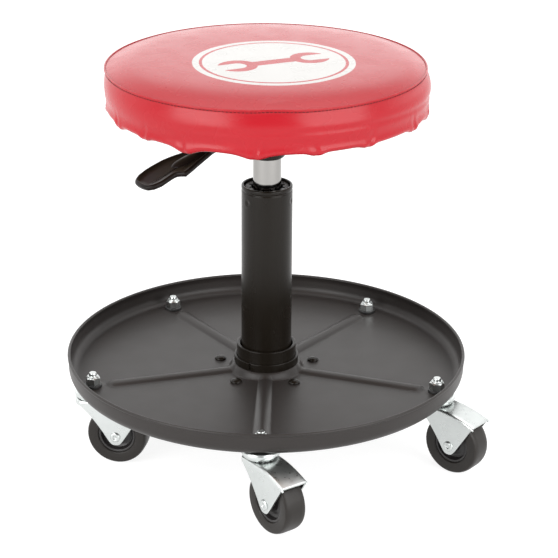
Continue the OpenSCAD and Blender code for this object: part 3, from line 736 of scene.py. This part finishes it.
def lever():
    tilt = joints["lever_tilt"]
    axis = Vector(tilt["axis"])
    out = Vector((-axis.y, axis.x, 0))
    pivot = Vector(tilt["pos_m"])
    pivot_out = pivot.xy.length
    centre = Vector((0, 0, pivot.z + pivot_out * math.tan(LEVER_DROP)))
    along = out * math.cos(LEVER_DROP) - Vector((0, 0, 1)) * math.sin(LEVER_DROP)
    up = out * math.sin(LEVER_DROP) + Vector((0, 0, 1)) * math.cos(LEVER_DROP)
    place = Matrix.Translation(centre) @ Matrix((along, up.cross(along), up)).transposed().to_4x4()
    edge = soften(PADDLE_FAR + PADDLE_NEAR, 2.0, 2)
    count = len(edge)
    centre_line = Vector((105, 0))

    def ring(inset, z):
        points = []
        for i in range(count):
            p, a, b = Vector(edge[i]), Vector(edge[i - 1]), Vector(edge[(i + 1) % count])
            tangent = (b - a).normalized()
            normal = Vector((tangent.y, -tangent.x))
            if normal.dot(p - centre_line) < 0:
                normal.negate()
            p = p - normal * inset
            points.append((p.x, p.y, z))
        return points
    section = [(14, -2.6), (5.0, -2.9), (2.2, -2.5), (0.7, -1.3), (0.0, 0.4), (0.2, 1.9), (1.0, 2.9),
               (2.2, 3.2), (3.2, 2.9), (4.0, 2.1), (5.0, 1.5), (9.0, 1.3)]
    rings = [ring(inset, z) for inset, z in section]
    verts = [v for r in rings for v in r]
    faces = [(i * count + j, i * count + (j + 1) % count, (i + 1) * count + (j + 1) % count,
              (i + 1) * count + j) for i in range(len(rings) - 1) for j in range(count)]
    faces += [tuple(range(count)), tuple(reversed(range((len(rings) - 1) * count, len(rings) * count)))]
    grip = [((verts, faces), Matrix.Identity(4))]
    hump = turned_mesh(soften([(4.1, 64), (6.8, 64, 0.8), (7.9, 84), (7.9, 96), (6.6, 106), (0, 113),
                               (0, 104), (4.1, 104)], 4, 4), 40)
    grip.append((hump, Matrix.Diagonal((1, 1, 0.58, 1)) @ Matrix.Rotation(math.pi / 2, 4, "Y")))
    several("lever_paddle", grip, "black_plastic", "lever", ["lever_grip"], 45, at=place)


# ---- seat ----

HEM_Z = BOARD_Z - 1.2
SKIN = 1.1                               # thickness of the vinyl
FOAM_INSET = 1.7                         # how far the foam lies inside the vinyl's outer face
TOP_HOLD = 0.6                           # how strongly the simulation keeps the crown where it is drawn
MOST_SHIFT = 1.2                         # how far the simulation may move a point
SIM_FRAMES = 22
# The tucks that gather the vinyl at the hem: azimuth (degrees), drop (mm) and half width (degrees)
TUCKS = [(-175, 3.0, 3.0), (-153.8, 3.3, 3.2), (-137, 2.2, 2.6), (-118.9, 5.2, 4.6), (-94.3, 4.7, 5.4),
         (-73, 2.7, 3.0), (-53.2, 2.3, 3.0), (-27.5, 3.5, 3.4), (-11, 4.5, 3.6), (12, 3.0, 3.0),
         (34, 3.6, 3.4), (55, 2.6, 3.0), (77, 4.0, 3.8), (98, 3.0, 3.0), (120, 3.8, 3.4),
         (141, 2.8, 3.0), (163, 4.2, 3.8)]


def crown_z(r):
    t = min(r / SEAM_R, 1.0)
    return SEAM_Z + CROWN * (1 - 0.22 * t ** 2 - 0.78 * t ** 10)


def seam_lift(angle):
    """How far the seam wanders up from its mean height at an angle."""
    turn = (angle + math.radians(88) + math.pi) % (2 * math.pi) - math.pi
    return np.exp(-(turn / 0.11) ** 2) - 1.1 * np.clip(-np.cos(angle), 0, 1) ** 2


def disc_grid(n):
    """Vertices of a square grid bent into a unit disc, and its rim in order round the disc."""
    points = {}
    for i in range(-n, n + 1):
        for j in range(-n, n + 1):
            a, b = i / n, j / n
            if a == 0 and b == 0:
                r, angle = 0.0, 0.0
            elif abs(a) > abs(b):
                r, angle = a, math.pi / 4 * b / a
            else:
                r, angle = b, math.pi / 2 - math.pi / 4 * a / b
            points[i, j] = (abs(r), angle + (math.pi if r < 0 else 0))
    rim = sorted((k for k in points if max(abs(k[0]), abs(k[1])) == n),
                 key=lambda k: points[k][1] % (2 * math.pi))
    return points, rim


def side_profile():
    """Points from just under the seam, down the cushion's side and in under the board."""
    side = [(3.6, 0.8), (3.1, 2.5), (2.5, 4.8), (1.6, 7.8), (0.8, 10.8), (0.4, 13.8), (0.1, 16.8),
            (0.2, 20.3), (0.5, 23.8), (1.1, 26.8), (1.8, 29.8), (2.2, 32.8), (2.3, 35.8), (2.4, 37.4),
            (3.0, 39.2), (4.2, 40.5), (6.0, 41.2)]
    side = [(SEAT_R - inset, SEAM_Z - below) for inset, below in side]
    under = [(BOARD_R + 1 - 3.4 * k, HEM_Z) for k in range(7)]
    return side + under


def cushion_skin():
    """The cover before simulation: a disc for the top and rings for the side, sharing the seam."""
    n = 32
    points, rim = disc_grid(n)
    index, verts = {}, []
    for key, (r, angle) in points.items():
        radius = SEAM_R * r * (1.4 - 0.4 * r)
        index[key] = len(verts)
        verts.append((radius * math.cos(angle), radius * math.sin(angle), crown_z(radius)))
    faces = [(index[i, j], index[i + 1, j], index[i + 1, j + 1], index[i, j + 1])
             for i in range(-n, n) for j in range(-n, n)]
    ring = [index[k] for k in rim]
    angles = [points[k][1] for k in rim]
    rings = [ring]
    for r, z in side_profile():
        first = len(verts)
        verts += [(r * math.cos(a), r * math.sin(a), z) for a in angles]
        rings.append(list(range(first, first + len(ring))))
    for upper, lower in zip(rings, rings[1:]):
        faces += [(upper[k], upper[(k + 1) % len(ring)], lower[(k + 1) % len(ring)], lower[k])
                  for k in range(len(ring))]
    return np.array(verts), faces, rings


def inflate(verts, faces, pinned):
    """Cloth under pressure, held at the pinned vertices, as an array of vertices in millimetres."""
    mesh = bpy.data.meshes.new("inflating")
    mesh.from_pydata((verts * MM).tolist(), [], faces)
    cushion = bpy.data.objects.new("inflating", mesh)
    bpy.context.scene.collection.objects.link(cushion)
    group = cushion.vertex_groups.new(name="pin")
    for i, weight in pinned.items():
        group.add([i], weight, "REPLACE")
    cloth = cushion.modifiers.new("cloth", "CLOTH")
    settings = cloth.settings
    settings.vertex_group_mass = "pin"
    settings.quality = 6
    settings.mass = 0.25
    settings.tension_stiffness = 18
    settings.compression_stiffness = 18
    settings.shear_stiffness = 6
    settings.bending_stiffness = 2.5
    settings.use_pressure = True
    settings.uniform_pressure_force = 1.2
    settings.shrink_min = 0.02
    settings.effector_weights.gravity = 0
    cloth.point_cache.frame_start = 1
    cloth.point_cache.frame_end = SIM_FRAMES
    scene = bpy.context.scene
    for number in range(1, SIM_FRAMES + 1):
        scene.frame_set(number)
    graph = bpy.context.evaluated_depsgraph_get()
    moved = np.array([v.co for v in cushion.evaluated_get(graph).data.vertices]) / MM
    bpy.data.objects.remove(cushion)
    scene.frame_set(1)
    return moved


def shape_skin(mesh):
    """The seam's wander, soft dents in the cushion's side, and the tucks that gather the vinyl at the hem."""
    verts = np.array([v.co for v in mesh.vertices]) / MM
    radius = np.hypot(verts[:, 0], verts[:, 1])
    angle = np.arctan2(verts[:, 1], verts[:, 0])
    below = SEAM_Z - verts[:, 2]
    near_seam = np.exp(-(below / 9) ** 2) * np.clip((radius - BOARD_R + 16) / 14, 0, 1)
    fade = np.clip((below - 3) / 10, 0, 1) * (radius > BOARD_R - 1)
    wave = 0.35 * np.sin(3 * angle + 0.6) + 0.25 * np.sin(5 * angle + 2.1) + 0.2 * np.sin(9 * angle + 4.0)
    crease = np.exp(-((below - 22 - 2.5 * np.sin(2 * angle + 1)) / 2.6) ** 2)
    push = fade * (0.5 * wave - crease * np.clip(0.35 + 0.75 * np.sin(angle + 1.9), 0, 1))
    low_part = np.clip((below - 20) / 21, 0, 1) ** 1.6
    outside = np.clip((radius - BOARD_R + 6) / 8, 0, 1)
    drop = np.zeros(len(verts))
    for k, (azimuth, depth, width) in enumerate(TUCKS):
        turn = (angle - math.radians(azimuth) + math.pi) % (2 * math.pi) - math.pi
        lean = turn + (0.03 if k % 2 else -0.03) * (1 - low_part)
        fold = (-1.3 * np.exp(-(lean / 0.012) ** 2) + 0.9 * np.exp(-((lean - 0.03) / 0.022) ** 2)
                + 0.5 * np.exp(-((lean + 0.034) / 0.026) ** 2))
        push += fold * low_part * outside
        drop += depth * np.exp(-(turn / math.radians(width)) ** 2)
    verts[:, 0] += push * np.cos(angle) - 1.6 * near_seam
    verts[:, 1] += push * np.sin(angle)
    verts[:, 2] += seam_lift(angle) * near_seam - drop * low_part * outside
    mesh.vertices.foreach_set("co", (verts * MM).ravel())
    mesh.update()


def seat():
    """The vinyl cover, which is returned, and the foam that fills it."""
    verts, faces, rings = cushion_skin()
    pinned = {i: 1.0 for ring in rings[:1] + rings[-11:] for i in ring}
    pinned.update({i: TOP_HOLD for i, z in enumerate(verts[:, 2]) if z > SEAM_Z + 0.01})
    shift = inflate(verts, faces, pinned) - verts
    size = np.linalg.norm(shift, axis=1, keepdims=True)
    moved = verts + shift * np.minimum(1, MOST_SHIFT / np.maximum(size, 1e-9))
    cover = piece("seat_upholstery", moved, faces, "vinyl", "seat", ["seat_cover"], 180)
    cover.modifiers.new("subdivide", "SUBSURF").levels = 1
    bake_modifiers(cover)
    shape_skin(cover.data)

    pad = piece("seat_cushion", moved, faces, "foam", "seat", ["seat_foam"], 180)
    pad.data = cover.data.copy()
    pad.data.materials[0] = MATERIALS["foam"]
    work = bmesh.new()
    work.from_mesh(pad.data)
    work.normal_update()
    for v in work.verts:
        v.co -= v.normal * FOAM_INSET * MM
        v.co.z = max(v.co.z, (BOARD_TOP - 9) * MM)
    bmesh.ops.holes_fill(work, edges=work.edges)
    work.to_mesh(pad.data)
    work.free()

    skin = cover.modifiers.new("skin", "SOLIDIFY")
    skin.thickness = SKIN * MM
    skin.offset = -1
    bake_modifiers(cover)
    tidy_mesh(cover, 60)
    return cover


def seam(cover):
    """The piped seam round the cushion, and the row of stitches under it."""
    tree = BVHTree.FromPolygons([v.co for v in cover.data.vertices],
                                [p.vertices for p in cover.data.polygons])

    def on_skin(angle, below):
        aim = Vector((math.cos(angle), math.sin(angle), 0))
        start = aim * (SEAT_R + 30) * MM + Vector((0, 0, (SEAM_Z + seam_lift(angle) - below) * MM))
        point, normal, _, _ = tree.ray_cast(start, -aim)
        return point / MM, normal

    count = 360
    verts, faces = [], []
    for k in range(count):
        a = 2 * math.pi * k / count
        point, _ = on_skin(a, 0.35)
        out = Vector((math.cos(a), math.sin(a), 0))
        for m in range(8):
            turn = 2 * math.pi * m / 8
            rise = Vector((0, 0, 0.85 * math.sin(turn) + 0.6))
            verts.append(point + out * (0.9 * math.cos(turn) + 0.2) + rise)
            here, following, beside = k * 8, (k + 1) % count * 8, (m + 1) % 8
            faces.append((here + m, here + beside, following + beside, following + m))
    piece("seat_piping", [tuple(v) for v in verts], faces, "vinyl", "seat", ["seat_welt"], 180)

    stitches = 268
    stitch = soften([(0, -1.35), (0.3, -1.3, 0.2), (0.45, 0, 0.6), (0.3, 1.3, 0.2), (0, 1.35)], 0, 2)
    stitch = turned_mesh(stitch, 8)
    parts = []
    for k in range(stitches):
        a = 2 * math.pi * k / stitches
        point, normal = on_skin(a, 1.8)
        tangent = Vector((-math.sin(a), math.cos(a), 0))
        side = normal.cross(tangent).normalized()
        turn = Matrix((side, normal, tangent)).transposed().to_4x4()
        parts.append((stitch, Matrix.Translation(point + normal * 0.12) @ turn))
    # The stitches take the thread finish, whose darkness is painted shade of the stitch holes and the groove
    # they sit in.
    several("seat_stitches", parts, "vinyl", "seat", (), 60, finish="thread")


def staples():
    """The staples that hold the hem, each set a little askew."""
    wire = 0.6
    count = 32
    r = BOARD_R - 15.4
    bar = turned_mesh(soften([(0, -5), (wire, -5, 0.3), (wire, 5, 0.3), (0, 5)], 0, 2), 10)
    parts = []
    for k in range(count):
        a = 2 * math.pi * k / count + 0.02 * math.sin(5 * k)
        place = upright(r * math.cos(a), r * math.sin(a), HEM_Z - 0.35, a + 0.15 * math.sin(7 * k))
        parts.append((bar, place @ Matrix.Rotation(math.pi / 2, 4, "X")))
    several("hem_staples", parts, "zinc", "seat", ["cover_staples"], 60)


# ---- studio ----

def studio():
    plane = bpy.data.meshes.new("studio_floor")
    reach = 30.0
    plane.from_pydata([(-reach, -reach, 0), (reach, -reach, 0), (reach, reach, 0), (-reach, reach, 0)], [],
                      [(0, 1, 2, 3)])
    ground = bpy.data.objects.new("studio_floor", plane)
    bpy.context.scene.collection.objects.link(ground)
    look = Look("studio_white", (0.3, 0.3, 0.3), 0.9, Specular_IOR_Level=0.0, Emission_Color=(1, 1, 1, 1),
                Emission_Strength=0.85)
    plane.materials.append(look.material)

    world = bpy.data.worlds.new("studio")
    bpy.context.scene.world = world
    world.use_nodes = True
    nodes, links = world.node_tree.nodes, world.node_tree.links
    split = nodes.new("ShaderNodeSeparateXYZ")
    links.new(nodes.new("ShaderNodeTexCoord").outputs["Generated"], split.inputs[0])

    def ramp(source, start, end, low_out, high_out):
        made = nodes.new("ShaderNodeMapRange")
        made.interpolation_type = "SMOOTHSTEP"
        for socket, value in zip(list(made.inputs)[1:5], (start, end, low_out, high_out)):
            socket.default_value = value
        links.new(source, made.inputs[0])
        return made.outputs[0]
    backdrop = nodes.new("ShaderNodeMath")
    backdrop.operation = "MULTIPLY"
    links.new(ramp(split.outputs["Y"], -0.5, 0.4, 0.1, 1), backdrop.inputs[0])
    links.new(ramp(split.outputs["Z"], 0.3, 0.45, 2.15, 1.05), backdrop.inputs[1])
    strength = nodes.new("ShaderNodeMath")
    strength.operation = "MULTIPLY"
    links.new(backdrop.outputs[0], strength.inputs[0])
    links.new(ramp(split.outputs["Z"], 0.6, 0.85, 1, 3.0), strength.inputs[1])
    links.new(strength.outputs[0], nodes["Background"].inputs["Strength"])
    nodes["Background"].inputs["Color"].default_value = (1, 1, 1, 1)

    def softbox(name, azimuth, distance, height, size, radiance):
        light = bpy.data.lights.new(name, "AREA")
        light.shape = "RECTANGLE"
        light.size, light.size_y = size
        light.energy = radiance * math.pi * size[0] * size[1]
        lamp = bpy.data.objects.new(name, light)
        bpy.context.scene.collection.objects.link(lamp)
        angle = math.radians(azimuth)
        lamp.location = (distance * math.sin(angle), -distance * math.cos(angle), height)
        aim = Vector((0, 0, 0.3)) - Vector(lamp.location)
        lamp.rotation_euler = aim.to_track_quat("-Z", "Y").to_euler()

    softbox("left_softbox", -44.5, 1.5, 0.75, (1.1, 1.3), 6.0)
    softbox("right_softbox", 46, 1.5, 0.75, (1.3, 1.3), 5.0)


def camera():
    """The photo's viewpoint, fitted to the tray, the castor nuts and the column."""
    data = bpy.data.cameras.new("camera")
    data.lens = 124.16
    data.sensor_width = 36
    data.clip_end = 50
    made = bpy.data.objects.new("camera", data)
    bpy.context.scene.collection.objects.link(made)
    made.location = (0.0002, -1.7964, 0.8974)
    pitch, yaw, roll = math.radians(21.958), math.radians(-0.391), math.radians(0.411)
    made.rotation_euler = (Matrix.Rotation(yaw, 4, "Z") @ Matrix.Rotation(math.pi / 2 - pitch, 4, "X")
                           @ Matrix.Rotation(roll, 4, "Z")).to_euler()
    bpy.context.scene.camera = made


camera()
studio()
bpy.context.scene.view_settings.view_transform = "Standard"
tray()
hub()
gas_lift()
for castor_name in CASTORS:
    castor(castor_name)
castor_tops()
lever()
upholstery = seat()
seam(upholstery)
staples()
for new_name, cad_name in (("seat_bracket", "seat_plate"), ("lever_wire", "lever_rod"),
                           ("plate_screws", "plate_bolts")):
    from_cad(new_name, cad_name)
